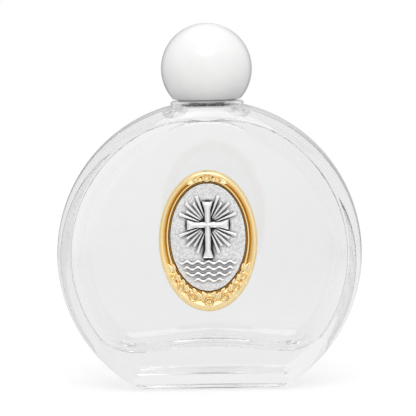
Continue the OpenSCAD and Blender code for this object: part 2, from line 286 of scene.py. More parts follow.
def arc(centre, radius, first, last, count):
    """Points along an arc, between two angles in degrees."""
    angles = np.radians(np.linspace(first, last, count))
    return [(centre[0] + radius * math.cos(a), centre[1] + radius * math.sin(a)) for a in angles]


# Flask

# Points on a quarter of a level ring: across the rim, round the edge and along the face
QUARTER = (16, 20, 12)
COLUMNS = 4 * sum(QUARTER)
TURN = TAU * np.arange(COLUMNS) / COLUMNS

# How far a ray is followed to a skin, and how often its last stretch is halved
RAY_REACH = 60
HALVINGS = 44

# Heights on the axis from which the rays to the skins start
FOOT_EYE = 12
FLOOR_EYE = 26
CEILING_EYE = 54
SHOULDER_EYE = 58

# The level rings of the outer and the inner wall: lowest, highest and how many
OUTER_LEVELS = (HEEL_ROUND, 74.3, 100)
INNER_LEVELS = (16, 69.8, 84)

# How many rings the flask's other stretches have
RING_COUNT = dict(foot=28, underside=14, shoulder=32, neck=33, throat=22, ceiling=34, heel=34, floor=16)

# How far out the middles of the underside and the floor reach, as shares of the wall's end ring
SOLE_SHARE = 0.6
HEARTH_SHARE = 0.42


def round_meet(a, b, radius):
    """Distance to the common part of two solids, with the edge between them rounded."""
    corner = np.hypot(np.maximum(radius + a, 0), np.maximum(radius + b, 0))
    return np.minimum(-radius, np.maximum(a, b)) + corner


def disc(p, radius, half, crown, edge):
    """Distance to a round, flat body with domed faces and a crowned rim."""
    r = np.hypot(p[..., 0], p[..., 2] - CENTRE_Z)
    y = np.abs(p[..., 1])
    face = np.hypot(r, y + FACE_R - half) - FACE_R
    rim = np.hypot(np.maximum(r - radius + crown, 0), y) - crown
    return round_meet(face, rim, edge)


def glass_outside(p):
    """Distance to the flask's body, with its bevelled foot and the seat under its neck."""
    depth = np.abs(p[..., 1])
    riser = np.maximum(p[..., 2] - HEEL_ROUND, 0)
    bevel = (depth - HEEL_Y - riser) / np.interp(riser, [0, BEVEL_EASE], [1, BEVEL_SLOPE])
    heel = round_meet(bevel, -p[..., 2], HEEL_ROUND)
    body = round_meet(disc(p, **BODY), heel, np.interp(depth, FOOT_EDGE_Y, FOOT_EDGE))
    away = np.maximum(np.hypot(p[..., 0], p[..., 1]) - SEAT_EDGE, 0)
    seat = np.linalg.norm(p - [0, 0, CENTRE_Z], axis=-1) - SEAT_R - SEAT_FALL * away ** 2
    return np.where(p[..., 2] > CENTRE_Z, np.maximum(body, seat), body)


def floor_height(x):
    """Height of the cavity's floor, which swells up in its middle."""
    swell = 0.5 + 0.5 * np.cos(np.pi * np.clip(x / PUSH_UP_X, -1, 1))
    return FLOOR_Z + PUSH_UP * swell


def glass_inside(p):
    """Distance to the cavity, whose upper edge gets sharper towards the throat."""
    full = HOLLOW["edge"]
    upper = np.interp(np.abs(p[..., 0]), THROAT_EDGE_X, (THROAT_EDGE, full))
    edge = np.where(p[..., 2] > CENTRE_Z, upper, full)
    hollow = disc(p, **{**HOLLOW, "edge": edge})
    return round_meet(hollow, floor_height(p[..., 0]) - p[..., 2], FLOOR_ROUND)


def on_axis(z):
    return np.array([0, 0, z])


def cast(origin, targets, solid):
    """The points where rays from an origin through the targets leave a solid."""
    way = targets - origin
    way = way / np.linalg.norm(way, axis=-1, keepdims=True)
    near = np.zeros(way.shape[:-1] + (1,))
    far = near + RAY_REACH
    for _ in range(HALVINGS):
        middle = (near + far) / 2
        inside = (solid(origin + way * middle) < 0)[..., None]
        near = np.where(inside, middle, near)
        far = np.where(inside, far, middle)
    return origin + way * far


def edge_points(radius, half, crown, edge):
    """Where the rounding between a face and the rim starts and ends, as (radius, depth)."""
    y = half - edge
    for _ in range(20):
        r = radius - crown + math.sqrt((crown - edge) ** 2 - y * y)
        y = half - edge - r * r / (2 * FACE_R)
    share = crown / (crown - edge)
    on_rim = (radius - crown + (r - radius + crown) * share, y * share)
    return on_rim, (r, half - r * r / (2 * FACE_R))


def level_ring(z, solid, radius, half, crown, edge):
    """A level ring of a round body, with points gathered where the rim turns into the faces."""
    (rim_r, rim_y), (face_r, face_y) = edge_points(radius, half, crown, edge)
    drop = z - CENTRE_Z
    rim, turn, face = QUARTER
    y = np.concatenate([
        rim_y * np.arange(rim) / rim,
        rim_y + (face_y - rim_y) * np.arange(turn) / turn,
        np.full(face + 1, face_y),
    ])
    r = np.concatenate([
        radius - crown + np.sqrt(crown ** 2 - y[:rim] ** 2),
        rim_r + (face_r - rim_r) * np.arange(turn) / turn,
    ])
    x = np.sqrt(r * r - drop * drop)
    face_x = math.sqrt(face_r ** 2 - drop ** 2)
    x = np.concatenate([x, face_x * (1 - np.arange(face + 1) / face)])
    quarter = np.arctan2(y, x)
    around = np.concatenate([
        quarter[:-1], np.pi - quarter[:0:-1], np.pi + quarter[:-1], TAU - quarter[:0:-1],
    ])
    level = on_axis(z)
    targets = level + np.stack([np.cos(around), np.sin(around), 0 * around], axis=-1)
    return cast(level, targets, solid)


def levels(radius, low, high, count):
    """Heights that are evenly spaced round the rim of a disc."""
    ends = np.arcsin((np.array([low, high]) - CENTRE_Z) / radius)
    return CENTRE_Z + radius * np.sin(np.linspace(*ends, count))


def circle(r, z):
    """A ring round the axis."""
    r = np.broadcast_to(r, TURN.shape)
    return np.stack([r * np.cos(TURN), r * np.sin(TURN), np.broadcast_to(z, TURN.shape)], axis=-1)


def circles(section):
    """A ring for each (radius, height) point of a section."""
    return np.stack([circle(r, z) for r, z in section])


def between(a, b, count, origin, solid):
    """Rings between two others, laid on a solid's skin; a and b themselves are left out."""
    share = np.arange(1, count)[:, None, None] / count
    return cast(origin, a + (b - a) * share, solid)


def closing_rings(ring, count, height):
    """Rings from a ring in to its middle, at a height that depends on x and y."""
    share = 1 - np.arange(1, count + 1)[:, None, None] / count
    rings = ring * share
    rings[..., 2] = height(rings[..., 0], rings[..., 1])
    return rings


def straight_up(ring, solid):
    """A ring carried straight up to a solid's skin."""
    low = ring * [1, 1, 0] + on_axis(SHOULDER_EYE)
    return cast(low, low + on_axis(1), solid)


def foot_dish(x, y):
    """Height of the shallow dish under the foot."""
    away = np.clip((x / DISH[0]) ** 2 + (y / DISH[1]) ** 2, 0, 1)
    return DISH_H * (1 - away) ** 1.5


def thread(turn, z, start, lead, turns):
    """Share of a ridge's height at an angle and a height on its wall."""
    high = np.zeros(np.broadcast(turn, z).shape)
    for lap in range(3):
        at = (turn / TAU - lead) % 1 + lap
        fade = np.clip(np.minimum(at, turns - at) / RIDGE_FADE, 0, 1)
        flank = (RIDGE_HALF - np.abs(z - start - PITCH * at)) / RIDGE_FLANK
        high = np.maximum(high, ease(flank) * ease(fade))
    return high


def outside_rings():
    """Rings from the middle of the underside up to the root of the neck's ring."""
    wall_levels = levels(BODY["radius"], *OUTER_LEVELS)
    wall = np.stack([level_ring(z, glass_outside, **BODY) for z in wall_levels])
    sole = wall[0] * [SOLE_SHARE, SOLE_SHARE, 0]
    foot = between(sole, wall[0], RING_COUNT["foot"], on_axis(FOOT_EYE), glass_outside)
    underside = closing_rings(sole, RING_COUNT["underside"], foot_dish)[::-1]
    root = straight_up(circle(RING_ROOT_R, 0), glass_outside)
    shoulder = between(wall[-1], root, RING_COUNT["shoulder"], on_axis(SHOULDER_EYE), glass_outside)
    return [underside, sole[None], foot, wall, shoulder, root[None]]


def neck_rings():
    """Rings over the neck's ring, up the thread, round the lip and down the bore."""
    ring = arc(RING, RING_ROUND, -42, 90, 15) + [
        (8.85, RING_TOP), (7.6, RING_TOP), (6.75, RING_TOP + 0.02), (6.4, RING_TOP + 0.11),
        (6.24, RING_TOP + 0.29),
    ]
    neck = []
    for z in np.linspace(RING_TOP + 0.65, LIP_Z - 0.9, RING_COUNT["neck"]):
        neck.append(circle(NECK_R + THREAD_H * thread(TURN, z, **NECK_THREAD), z))
    lip = [
        (NECK_R, LIP_Z - 0.6), (NECK_R - 0.05, LIP_Z - 0.4), (NECK_R - 0.2, LIP_Z - 0.2),
        (NECK_R - 0.4, LIP_Z - 0.06), (NECK_R - 0.7, LIP_Z), (BORE_R + 0.55, LIP_Z),
        (BORE_R + 0.22, LIP_Z - 0.05), (BORE_R + 0.05, LIP_Z - 0.18), (BORE_R, LIP_Z - 0.4),
    ]
    bore = [(BORE_R, 86.5), (BORE_R, 84), (BORE_R, 81.5)]
    return [circles(ring), np.stack(neck), circles(lip + bore)]


def throat_rings(mouth, ceiling):
    """Rings that open from the bore to the cavity: a dome front and back, a soft wave to the sides."""
    bore = circle(BORE_R, 0)
    sideways = np.cos(TURN) ** 2
    rings = []
    for angle in np.radians(np.linspace(90, 0, RING_COUNT["throat"])):
        share = math.cos(angle)
        domed = math.sin(angle)
        waved = 0.5 + 0.5 * math.cos(math.pi * share)
        rise = domed + (waved - domed) * sideways
        ring = bore + (mouth - bore) * share
        ring[:, 2] = ceiling[:, 2] + (THROAT_TOP - ceiling[:, 2]) * rise
        rings.append(ring)
    return np.stack(rings)


def inside_rings():
    """Rings from the throat down the cavity to the middle of its floor."""
    wall_levels = levels(HOLLOW["radius"], *INNER_LEVELS)[::-1]
    wall = np.stack([level_ring(z, glass_inside, **HOLLOW) for z in wall_levels])
    mouth = circle(1, 0) * [*THROAT, 0]
    ceiling = straight_up(mouth, glass_inside)
    throat = throat_rings(mouth, ceiling)
    shoulder = between(ceiling, wall[0], RING_COUNT["ceiling"], on_axis(CEILING_EYE), glass_inside)
    hearth = wall[-1] * [HEARTH_SHARE, HEARTH_SHARE, 0] + on_axis(FLOOR_Z)
    heel = between(wall[-1], hearth, RING_COUNT["heel"], on_axis(FLOOR_EYE), glass_inside)
    floor = closing_rings(hearth, RING_COUNT["floor"], lambda x, y: floor_height(x))
    hearth[:, 2] = floor_height(hearth[:, 0])
    return [throat, shoulder, wall, heel, hearth[None], floor]


def slope(p, solid):
    """The direction in which a solid's skin faces at each point."""
    step = np.eye(3) * 0.002
    way = np.stack([solid(p + s) - solid(p - s) for s in step], axis=-1)
    return way / np.linalg.norm(way, axis=-1, keepdims=True)


def true_normals(piece):
    """Gives the body's two skins their exact normals, so that light bends through them smoothly."""
    mesh = piece.data
    points = points_of(piece) / MM
    normals = np.empty(3 * len(mesh.vertices))
    mesh.vertices.foreach_get("normal", normals)
    normals = normals.reshape(-1, 3)
    outer = np.abs(glass_outside(points)) < 1e-3
    inner = np.abs(glass_inside(points)) < 1e-3
    normals[outer] = slope(points[outer], glass_outside)
    normals[inner] = -slope(points[inner], glass_inside)
    mesh.normals_split_custom_set_from_vertices(normals)


flask = rolled("flask_glass", np.concatenate(outside_rings() + neck_rings() + inside_rings()))
shade(flask, 60)
true_normals(flask)


# Cap

def ball_section():
    """The ball with its flat underside, its bore with a snap groove and the hollow above."""
    cut = math.degrees(math.asin((CAP_Z - BALL_Z) / BALL_R))
    outside = arc((0, BALL_Z), BALL_R, 90, cut, 64)
    bore = [
        (BALL_BORE_R, CAP_Z), (BALL_BORE_R, BALL_Z - SNAP_BEAD), (BALL_BORE_R + SNAP_BEAD, BALL_Z),
        (BALL_BORE_R, BALL_Z + SNAP_BEAD), (BALL_BORE_R, INSERT_TOP), (BALL_CORE_R, INSERT_TOP),
    ]
    core_r = (BALL_CORE_R ** 2 + BALL_CORE_H ** 2) / (2 * BALL_CORE_H)
    core_z = INSERT_TOP + BALL_CORE_H - core_r
    spring = math.degrees(math.atan2(INSERT_TOP - core_z, BALL_CORE_R))
    core = arc((0, core_z), core_r, spring, 90, 14)
    return outside + bore + core[1:]


def insert_rings():
    """The insert's closed top, its outside with a snap bead, its foot, thread and ceiling."""
    outside = [
        (0, INSERT_TOP), (2, INSERT_TOP), (5, INSERT_TOP), (INSERT_R - 0.5, INSERT_TOP),
        (INSERT_R - 0.2, INSERT_TOP - 0.06), (INSERT_R - 0.04, INSERT_TOP - 0.2),
        (INSERT_R, INSERT_TOP - 0.4), (INSERT_R, 89),
    ]
    bead = arc((INSERT_R, BALL_Z), SNAP_BEAD, 90, -90, 7)
    foot = [
        (INSERT_R, 86), (INSERT_R, 83), (INSERT_R, 80), (INSERT_R, INSERT_FOOT + 0.25),
        (INSERT_R - 0.08, INSERT_FOOT + 0.08), (INSERT_R - 0.25, INSERT_FOOT),
        (INSERT_BORE_R + 0.3, INSERT_FOOT), (INSERT_BORE_R + 0.11, INSERT_FOOT + 0.06),
        (INSERT_BORE_R + 0.02, INSERT_FOOT + 0.18),
    ]
    bore = []
    for z in np.linspace(INSERT_FOOT + 0.7, INSERT_FOOT + 6.15, 34):
        bore.append(circle(INSERT_BORE_R - THREAD_H * thread(TURN, z, **CAP_THREAD), z))
    ceiling = [
        (INSERT_BORE_R, 87), (INSERT_BORE_R, 89), (INSERT_BORE_R, LINER_TOP - 0.2),
        (INSERT_BORE_R - 0.05, LINER_TOP - 0.06), (INSERT_BORE_R - 0.2, LINER_TOP),
        (5, LINER_TOP), (2, LINER_TOP), (0, LINER_TOP),
    ]
    return np.concatenate([circles(outside + bead + foot), np.stack(bore), circles(ceiling)])


ball = turned("ball_cap", ball_section(), 128)
soften_edges(ball, 0.3, 4)
weld(ball)
shade(ball, 40)

insert = rolled("threaded_insert", insert_rings())
shade(insert, 40)

# The liner has a shallow ring pressed into it by the plug's flange
PRESSED = FLANGE_TOP + 0.05
liner = turned("sealing_liner", [
    (0, LINER_TOP), (LINER_R, LINER_TOP), (LINER_R, FLANGE_TOP), (5.6, FLANGE_TOP), (5.3, PRESSED),
    (3.9, PRESSED), (3.6, FLANGE_TOP), (0, FLANGE_TOP),
])
soften_edges(liner, 0.14, 3)
shade(liner, 40)

# The plug has a dished pouring hole in its flange and a groove round its skirt
DISHED = FLANGE_TOP - 0.2
plug = turned("pouring_plug", [
    (POUR_HOLE_R, LIP_Z), (POUR_HOLE_R, DISHED), (1.75, DISHED), (1.95, FLANGE_TOP),
    (FLANGE_R, FLANGE_TOP), (FLANGE_R, LIP_Z), (PLUG_R, LIP_Z), (PLUG_R, 86), (PLUG_R - 0.07, 85.9),
    (PLUG_R, 85.8), (PLUG_R, PLUG_FOOT + 0.7), (3.9, PLUG_FOOT), (PLUG_BORE_R, PLUG_FOOT),
    (PLUG_BORE_R, LIP_Z),
])
soften_edges(plug, 0.1, 3)
shade(plug, 40)


# Medal frame

FRONT = Matrix(((1, 0, 0, 0), (0, 0, -1, MEDAL_Y), (0, 1, 0, MEDAL_Z), (0, 0, 0, 1)))
FRAME_COLUMNS = 176


def on_front(points):
    """Points drawn in the medal's plane, with height towards the viewer, put on the flask."""
    return np.stack([points[..., 0], MEDAL_Y - points[..., 2], MEDAL_Z + points[..., 1]], axis=-1)


def frame_at(angle, share):
    """A point of the frame: an angle round it, and a share of the way in to the opening."""
    outer = np.stack([FRAME_A * np.cos(angle), FRAME_B * np.sin(angle)], axis=-1)
    inner = np.stack([OPENING_A * np.cos(angle), OPENING_B * np.sin(angle) + OPENING_RISE], axis=-1)
    return outer + (inner - outer) * np.asarray(share)[..., None]


def moulding():
    """The frame's section: share of the way in to the opening, then height above the back."""
    crest = []
    for share in CREST - CREST * np.cos(np.linspace(0, 2.07, 16)):
        bow = math.sqrt(max(0, 1 - ((share - CREST) / CREST) ** 2))
        crest.append((share, CREST_FOOT + CREST_RISE * bow))
    start, top = crest[-1]
    off = (start - CREST) / CREST
    fall = -CREST_RISE * off / CREST / math.sqrt(1 - off ** 2)
    width = LIP_START - start
    cove = []
    for s in np.linspace(0, 1, 9)[1:]:
        high = top * (2 * s ** 3 - 3 * s ** 2 + 1) + fall * width * (s ** 3 - 2 * s ** 2 + s)
        cove.append((start + width * s, high + LIP_FOOT * (3 * s ** 2 - 2 * s ** 3)))
    lip = []
    for a in np.linspace(0, math.pi, 11)[1:]:
        lip.append((LIP_START + LIP_HALF - LIP_HALF * math.cos(a), LIP_FOOT + LIP_RISE * math.sin(a)))
    groove = [(0.915, 1.24), (0.93, 1.15), (0.96, 1.12), (1, 1.12), (1, TRAY_FLOOR)]
    return [(0, 0), (0, 0.4)] + crest + cove + lip + groove


def medal_frame_rings():
    """Rings from the middle of the back, over the moulding, to the middle of the tray."""
    around = TAU * np.arange(FRAME_COLUMNS) / FRAME_COLUMNS
    rows = []
    for share, high in moulding():
        flat = frame_at(around, np.full(FRAME_COLUMNS, share))
        rows.append(np.concatenate([flat, np.full((FRAME_COLUMNS, 1), high)], axis=1))
    back = [rows[0] * [s, s, 0] for s in (0, 0.4, 0.75, 0.97)]
    middle = np.array([0, OPENING_RISE, 0])
    tray = [(rows[-1] - middle) * [s, s, 1] + middle for s in (0.9, 0.5, 0)]
    return on_front(np.stack(back + rows + tray))


medal_frame = rolled("gilt_frame", medal_frame_rings())
shade(medal_frame, 50)


# Garland

# Roses: angle round the frame, share of the way in, size
FOOT_ROSES = (
    (-90, 0.55, 2.2), (-111.5, 0.54, 1.8), (-68.5, 0.54, 1.8), (-130, 0.53, 1.5), (-50, 0.53, 1.5),
    (-144, 0.52, 1.15), (-36, 0.52, 1.15),
)
HEAD_ROSES = ((90, 0.52, 1.35), (104, 0.5, 0.95), (76, 0.5, 0.95))

# Leaves to each side of the middle rose: angle from it, share of the way in, heading, size
FOOT_LEAVES = (
    (4, 0.74, 52, 0.75), (10, 0.6, 48, 0.9), (9, 0.5, -52, 0.95), (12, 0.24, 8, 1.0),
    (18, 0.8, 34, 0.7), (30, 0.6, 48, 0.85), (29, 0.48, -48, 0.9), (32, 0.26, 6, 0.95),
    (37, 0.8, 30, 0.65), (46, 0.62, 44, 0.75), (45, 0.46, -42, 0.8), (47, 0.3, 2, 0.9),
    (57, 0.7, 26, 0.8), (56, 0.34, -20, 0.85), (58, 0.52, 2, 1.1),
)
HEAD_LEAVES = ((5, 0.2, 20, 0.7), (6, 0.8, -20, 0.7), (17, 0.3, 12, 0.85), (18, 0.68, -10, 0.8))
FOOT_LEAF_H = 2.25
HEAD_LEAF_H = 2.2
LEAF_TILT = -4

# Each tier of a rose: its number of petals and the share of the radius that it reaches
PETAL_TIERS = ((3, 0.26), (4, 0.5), (5, 0.76), (6, 1.0))
PETAL_COLUMNS = 60

# How far the roses and leaves reach down into the frame
ORNAMENT_ROOT = 0.9


def rosette(name, radius, high, twist):
    """A rose in low relief: scalloped tiers of petals round a bud, closed underneath."""
    around = TAU * np.arange(PETAL_COLUMNS) / PETAL_COLUMNS
    reach = np.concatenate([[0], np.linspace(0.06, 1, 22)])
    rows = []
    for r in reach:
        tier = np.zeros(PETAL_COLUMNS)
        for index, (count, edge) in enumerate(PETAL_TIERS):
            swirl = count * (around + twist * index + 0.5 * r)
            scallop = edge * (0.84 + 0.16 * np.abs(np.cos(swirl / 2)) ** 0.7)
            inside = ease((scallop - r) / 0.07 + 0.5)
            lift = 0.34 * np.clip(r / scallop, 0, 1) ** 3
            crease = 0.1 * (1 - np.abs(np.cos(swirl / 2))) ** 2
            tier = tier + inside * (0.25 + (lift - crease) * (0.6 if index else 0.3))
        rows.append(np.stack([
            radius * r * np.cos(around), radius * r * np.sin(around), high * tier * (1 - 0.25 * r * r),
        ], axis=-1))
    top = max(row[:, 2].max() for row in rows)
    for row in rows:
        row[:, 2] *= high / top
    rows[0][:, 2] = rows[0][:, 2].mean()
    skirt = rows[-1] * [0.98, 0.98, 0] - [0, 0, ORNAMENT_ROOT]
    under = skirt * [0, 0, 1]
    return rolled(name, np.stack(rows + [skirt, under]))


def leaf(name, length, width, high):
    """A pointed leaf with a midrib and side veins, closed underneath."""
    piece = grid(name, 22, 12, 2)
    along, across = points_of(piece)[:, :2].T
    u = (along + 1) / 2
    span = np.sin(np.pi * u ** 0.8) ** 0.75 * (1 + 0.07 * np.sin(9 * TAU * u / 2))
    ribs = 0.16 * np.sin(TAU * (4.5 * u - 1.1 * np.abs(across))) * np.abs(across)
    spine = np.sin(np.pi * np.clip(u, 0.02, 0.98)) ** 0.5
    dome = np.sqrt(np.clip(1 - 0.86 * across ** 2, 0, 1)) * spine
    groove = 0.3 * np.exp(-(across / 0.14) ** 2)
    tip = np.clip(span / 0.3, 0, 1)
    rise = spine + (dome + ribs - groove - spine) * tip
    move_points(piece, np.stack([length * u, width / 2 * across * span, high * rise - 0.15], axis=-1))
    bpy.ops.object.mode_set(mode="EDIT")
    bpy.ops.mesh.select_all(action="SELECT")
    bpy.ops.mesh.region_to_loop()
    bpy.ops.mesh.extrude_region_move(TRANSFORM_OT_translate={"value": (0, 0, -ORNAMENT_ROOT * MM)})
    bpy.ops.mesh.edge_face_add()
    bpy.ops.object.mode_set(mode="OBJECT")
    return weld(piece)


def garland_spot(degrees, share, high, heading, tilt, size):
    """Where an ornament goes: an angle round the frame, a share of the way in and a height."""
    angle = math.radians(degrees)
    x, y = frame_at(np.array([angle]), np.array([share]))[0]
    along = math.atan2(FRAME_B * math.cos(angle), -FRAME_A * math.sin(angle))
    turn = Matrix.Rotation(along + math.radians(heading), 4, "Z")
    lean = Matrix.Rotation(math.radians(tilt), 4, "Y")
    return FRONT @ Matrix.Translation((x, y, high)) @ turn @ lean @ Matrix.Scale(size, 4)


def leaf_pairs(blade, middle, high, leaves):
    """Copies of a leaf to both sides of a middle rose, each side the other's mirror image."""
    pieces = []
    for side in (-1, 1):
        for degrees, share, heading, size in leaves:
            turn = heading if side > 0 else 180 - heading
            spot = garland_spot(middle + side * degrees, share, high, turn, LEAF_TILT, size)
            pieces.append(copied(blade, spot))
    return pieces


def garland():
    """Roses and leaves at the frame's foot, and a smaller cluster at its head.

    Larger roses are set deeper, so that the tops of all of them stay about level.
    """
    rose = rosette("rose", 1, 0.58, 0.5)
    blade = leaf("leaf", 2.6, 1.5, 0.4)
    pieces = []
    for degrees, share, size in FOOT_ROSES:
        spot = garland_spot(degrees, share, 3.02 - 0.55 * size, 40 * size, 0, size)
        pieces.append(copied(rose, spot))
    pieces += leaf_pairs(blade, -90, FOOT_LEAF_H, FOOT_LEAVES)
    for degrees, share, size in HEAD_ROSES:
        spot = garland_spot(degrees, share, 2.85 - 0.5 * size, 30, 0, size)
        pieces.append(copied(rose, spot))
    pieces += leaf_pairs(blade, 90, HEAD_LEAF_H, HEAD_LEAVES)
    for model in (rose, blade):
        bpy.data.objects.remove(model)
    return joined("rose_garland", pieces)


roses = garland()
shade(roses, 50)


# Plate

# A point lies in a hollow where the mean height on rings of these radii round it is above its own
NEAR_RADII = (0.22, 0.45, 0.75, 1.2)
NEAR_STEPS = 8
HOLLOW_DEPTH = 0.2


def arm_distance(x, y, length):
    """Distance to one arm of the cross, which points up from the crossing and flares at its tip."""
    flare = ARM_HALF + ARM_FLARE * ease((y - length + FLARE_LEN) / FLARE_LEN)
    return np.maximum(np.abs(x) - flare, np.maximum(y - length, -y - ARM_HALF))


def cross_height(x, y):
    """A raised cross with a ridged top and a line cut inside its outline."""
    outline = np.minimum(
        np.minimum(arm_distance(x, y, ARM_UP), arm_distance(x, -y, ARM_DOWN)),
        np.minimum(arm_distance(y, x, ARM_SIDE), arm_distance(y, -x, ARM_SIDE)),
    )
    step = CROSS_H * ease(0.5 - outline / CROSS_EDGE)
    ridge = CROSS_RIDGE * np.clip(-outline / ARM_HALF, 0, 1)
    line = LINE_DEPTH * ease((LINE_HALF - np.abs(outline + LINE_INSET)) / LINE_HALF)
    return step + ridge - line


def ray_height(x, y):
    """Five rays in each quarter round the crossing, long and short by turns, widening outwards."""
    away = np.hypot(x, y)
    bearing = np.degrees(np.arctan2(y, x)) % 90 - 45
    index = np.clip(np.round(bearing / RAY_STEP), -2, 2)
    off = np.radians(np.abs(bearing - index * RAY_STEP)) * away
    reach = np.where(index % 2 == 0, RAY_LONG, RAY_SHORT)
    width = np.interp(away, RAY_WIDENS, (0, RAY_HALF))
    ends = ease((reach - away) / 0.3) * ease((away - RAY_START) / 0.5)
    return RAY_H * ease((width - off) / RAY_EDGE + 0.5) * ends


def water_height(x, y):
    """Rows of waves."""
    high = np.zeros_like(x)
    for row in range(WAVE_ROWS):
        middle = WAVE_Y - row * WAVE_PITCH + WAVE_SWING * np.cos(TAU * x / WAVE_LEN)
        high = np.maximum(high, WAVE_H * ease((WAVE_HALF - np.abs(y - middle)) / WAVE_EDGE))
    return high


def relief(x, y):
    """Height of the plate's picture above its field: a cross in a glory of rays, over water."""
    inside = 1 - np.hypot(x / PLATE_A, y / PLATE_B) - MARGIN
    cross = cross_height(x, y - CROSSING_Y)
    rays = np.where(y < WATER_TOP, 0, ray_height(x, y - CROSSING_Y) * ease(inside / 0.03))
    water = water_height(x, y) * ease(inside / 0.04)
    return np.maximum(np.maximum(cross, rays), water)


def oval_grid(columns, rows):
    """Points of a square grid drawn out to the plate's oval."""
    u, v = np.meshgrid(np.linspace(-1, 1, columns), np.linspace(-1, 1, rows))
    x = u * np.sqrt(1 - v * v / 2)
    y = v * np.sqrt(1 - u * u / 2)
    return PLATE_A * x, PLATE_B * y


def struck_plate():
    """The plate: a fine grid raised to its picture, with its rim drawn back to a flat back."""
    columns, rows = 220, 300
    plate = grid("silver_plate", columns - 1, rows - 1, 0.01)
    x, y = oval_grid(columns, rows)
    high = relief(x, y)
    out = np.hypot(x / PLATE_A, y / PLATE_B)
    high = high - RIM_DROP * ease((out - RIM_START) / (1 - RIM_START))
    move_points(plate, on_front(np.stack([x, y + OPENING_RISE, FIELD_H + high], axis=-1)))
    nearby = np.zeros_like(x)
    for r in NEAR_RADII:
        for a in TAU * np.arange(NEAR_STEPS) / NEAR_STEPS:
            nearby += relief(x + r * math.cos(a), y + r * math.sin(a))
    below = nearby / (len(NEAR_RADII) * NEAR_STEPS) - high
    point_attribute(plate, "hollow", np.clip(below / HOLLOW_DEPTH, -1, 1).reshape(-1))
    bpy.ops.object.mode_set(mode="EDIT")
    bpy.ops.mesh.select_all(action="SELECT")
    bpy.ops.mesh.region_to_loop()
    bpy.ops.mesh.extrude_region_move(TRANSFORM_OT_translate={"value": (0, 0, 0)})
    back = (0, (MEDAL_Y - PLATE_BACK) * MM, MEDAL_Z * MM)
    bpy.ops.transform.resize(value=(1, 0, 1), center_override=back, constraint_axis=(False, True, False))
    bpy.ops.mesh.edge_face_add()
    bpy.ops.object.mode_set(mode="OBJECT")
    return weld(plate)


plate = struck_plate()
shade(plate, 50)


# Marks for the gilding's painted shade and highlights

# The frame's inner edge gets a painted shadow out to this share of the opening, which fades over the second
# one
SHADE_REACH = 1.036
SHADE_FADE = 0.014
SMOOTH_PASSES = 12


def hollow_from_shape(piece, depth, inner):
    """Marks depth below nearby points, for painted shade and highlight, and a painted shadow by the
    opening.
    """
    mesh = piece.data
    points = points_of(piece)
    pairs = np.empty(2 * len(mesh.edges), dtype=np.int64)
    mesh.edges.foreach_get("vertices", pairs)
    pairs = pairs.reshape(-1, 2)
    high = -points[:, 1]
    smooth = high.copy()
    count = np.bincount(pairs.reshape(-1), minlength=len(high))
    for _ in range(SMOOTH_PASSES):
        total = np.zeros_like(high)
        np.add.at(total, pairs[:, 0], smooth[pairs[:, 1]])
        np.add.at(total, pairs[:, 1], smooth[pairs[:, 0]])
        smooth = total / np.maximum(count, 1)
    below = np.clip((smooth - high) / (depth * MM), -1, 1)
    x = points[:, 0] / MM
    y = points[:, 2] / MM - MEDAL_Z - OPENING_RISE
    away = np.hypot(x / OPENING_A, y / OPENING_B)
    # Painted shadow in the groove along the frame's opening
    near = inner * ease((SHADE_REACH - away) / SHADE_FADE)
    point_attribute(piece, "hollow", np.where(near > 0, np.maximum(below, near), below))


# The frame also gets the painted shadow along its opening; the roses do not
hollow_from_shape(medal_frame, 0.25, 1)
hollow_from_shape(roses, 0.12, 0)


# Shader helpers

def fill(tree, made, inputs):
    """Sets a node's inputs: a socket is linked, and anything else is a plain value."""
    for key, value in inputs.items():
        if isinstance(value, bpy.types.NodeSocket):
            tree.links.new(value, made.inputs[key])
        else:
            made.inputs[key].default_value = value
    return made


def node(tree, kind, inputs=None, **settings):
    made = tree.nodes.new(kind)
    for key, value in settings.items():
        setattr(made, key, value)
    return fill(tree, made, inputs or {})


def group_node(tree, group, output, **inputs):
    """Places a shared effect in a tree, and gives one of its outputs."""
    return node(tree, "ShaderNodeGroup", inputs, node_tree=group).outputs[output]


def mix_colours(tree, factor, first, second):
    mixed = node(tree, "ShaderNodeMix", {"Factor": factor, 6: first, 7: second}, data_type="RGBA")
    return mixed.outputs[2]


def blended(tree, factor, first, second):
    return node(tree, "ShaderNodeMix", {"Factor": factor, 2: first, 3: second}).outputs[0]


def spread(tree, value, low, high, start=0.0, end=1.0):
    """Carries a value that goes from start to end over to the range from low to high."""
    made = node(tree, "ShaderNodeMapRange", {
        "Value": value, "From Min": start, "From Max": end, "To Min": low, "To Max": high})
    return made.outputs[0]


def combined(tree, operation, first, *others):
    for other in others:
        first = node(tree, "ShaderNodeMath", {0: first, 1: other}, operation=operation).outputs[0]
    return first


def maximum(tree, *values):
    return combined(tree, "MAXIMUM", *values)


def times(tree, *values):
    return combined(tree, "MULTIPLY", *values)


def bump(tree, height, distance, strength):
    made = node(tree, "ShaderNodeBump", {"Height": height, "Distance": distance * MM, "Strength": strength})
    return made.outputs[0]


def attribute(tree, name):
    return node(tree, "ShaderNodeAttribute", attribute_name=name).outputs["Fac"]


# Shared effects

def effect(name, inputs, output):
    """An empty shader group with a vector, named values with defaults and one output."""
    group = bpy.data.node_groups.new(name, "ShaderNodeTree")
    group.interface.new_socket(name="Vector", in_out="INPUT", socket_type="NodeSocketVector")
    for label, default in inputs.items():
        socket = group.interface.new_socket(name=label, in_out="INPUT", socket_type="NodeSocketFloat")
        socket.default_value = default
    group.interface.new_socket(name=output, in_out="OUTPUT", socket_type="NodeSocketFloat")
    return group, group.nodes.new("NodeGroupInput").outputs, group.nodes.new("NodeGroupOutput")


